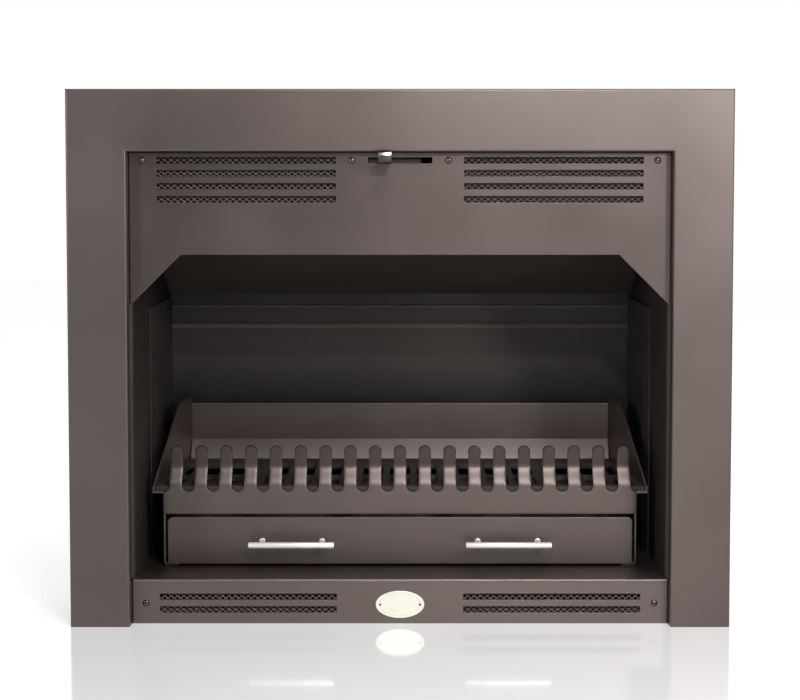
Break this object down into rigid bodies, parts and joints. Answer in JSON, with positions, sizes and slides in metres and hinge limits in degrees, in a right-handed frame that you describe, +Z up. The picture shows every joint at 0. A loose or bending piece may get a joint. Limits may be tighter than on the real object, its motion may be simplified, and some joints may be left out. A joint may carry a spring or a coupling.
{
  "type": "fireplace insert",
  "caption": "Built-in double-skin fireplace insert with a folded steel surround, vented panels, a damper lever, a finger-front fire basket with drop-in grates and a bar-handled ash drawer.",
  "frame": {"origin": "on the hearth, at the middle of the width and halfway through the depth", "axes": "+X to the right as seen from the room, +Y from the room towards the flue side, +Z up"},
  "size_m": [1.02, 0.482, 0.83],
  "materials": {
    "panel_paint": "satin warm grey",
    "firebox_paint": "matt dark",
    "cast_plate": "matt",
    "grate_iron": "painted, matt",
    "zinc_sheet": "galvanised",
    "bright_steel": "plain",
    "handle_chrome": "polished",
    "mesh_metal": "matt",
    "plate_enamel": "enamel"
  },
  "bodies": {
    "fireplace_body": {"surround_frame": "panel_paint", "surround_clips": "zinc_sheet", "upper_front_panel": "panel_paint", "lower_front_panel": "panel_paint", "vent_mesh_upper_right": "mesh_metal", "vent_mesh_upper_left": "mesh_metal", "vent_mesh_lower_right": "mesh_metal", "vent_mesh_lower_left": "mesh_metal", "panel_screws": "bright_steel", "name_plate": "plate_enamel", "name_plate_pins": "bright_steel", "firebox_floor": "panel_paint", "firebox_side_right": "firebox_paint", "firebox_side_left": "firebox_paint", "firebox_back": "firebox_paint", "firebox_roof": "firebox_paint", "fireback_plate": "cast_plate", "fireback_rail": "firebox_paint", "cheek_plate_right": "cast_plate", "cheek_plate_left": "cast_plate", "smoke_baffle": "firebox_paint", "hood_front": "firebox_paint", "flue_spigot": "zinc_sheet", "casing_side_right": "zinc_sheet", "casing_side_left": "zinc_sheet", "casing_back": "zinc_sheet", "casing_base": "zinc_sheet", "casing_top": "zinc_sheet", "floor_supports": "zinc_sheet", "back_spacers": "zinc_sheet", "wall_lugs": "zinc_sheet", "damper_guide_lower": "zinc_sheet", "damper_guide_upper": "zinc_sheet", "damper_bearing_right": "cast_plate", "damper_bearing_left": "cast_plate"},
    "damper_slider": {"cam_plate": "firebox_paint", "damper_lever": "bright_steel"},
    "damper_blade": {"damper_shaft": "bright_steel", "damper_flap": "firebox_paint", "damper_finger": "bright_steel"},
    "fire_basket": {"basket_front": "panel_paint", "basket_side_right": "panel_paint", "basket_side_left": "panel_paint", "basket_guard_right": "panel_paint", "basket_guard_left": "panel_paint", "basket_back": "panel_paint", "grate_rail_front": "panel_paint", "grate_rail_back": "panel_paint", "grate_section_1": "grate_iron", "grate_section_2": "grate_iron", "grate_section_3": "grate_iron", "grate_section_4": "grate_iron", "grate_section_5": "grate_iron"},
    "ash_drawer": {"drawer_front": "panel_paint", "ash_pan": "zinc_sheet", "handle_bar_right": "handle_chrome", "handle_bar_left": "handle_chrome", "handle_posts": "handle_chrome"}
  },
  "joints": [
    {"name": "basket_slide", "type": "slide", "parent": "fireplace_body", "child": "fire_basket", "axis": [0, -1, 0], "range_m": [0, 0.18]},
    {"name": "drawer_slide", "type": "slide", "parent": "fire_basket", "child": "ash_drawer", "axis": [0, -1, 0], "range_m": [0, 0.2]},
    {"name": "damper_slide", "type": "slide", "parent": "fireplace_body", "child": "damper_slider", "axis": [1, 0, 0], "range_m": [-0.016, 0.062]},
    {"name": "damper_turn", "type": "hinge", "parent": "fireplace_body", "child": "damper_blade", "pos_m": [0, -0.126, 0.625], "axis": [1, 0, 0], "range_deg": [-35.9, 9.4]}
  ],
  "couplings": [
    {"joint": "damper_turn", "follows": "damper_slide", "rad_per_m": -10.069}
  ]
}
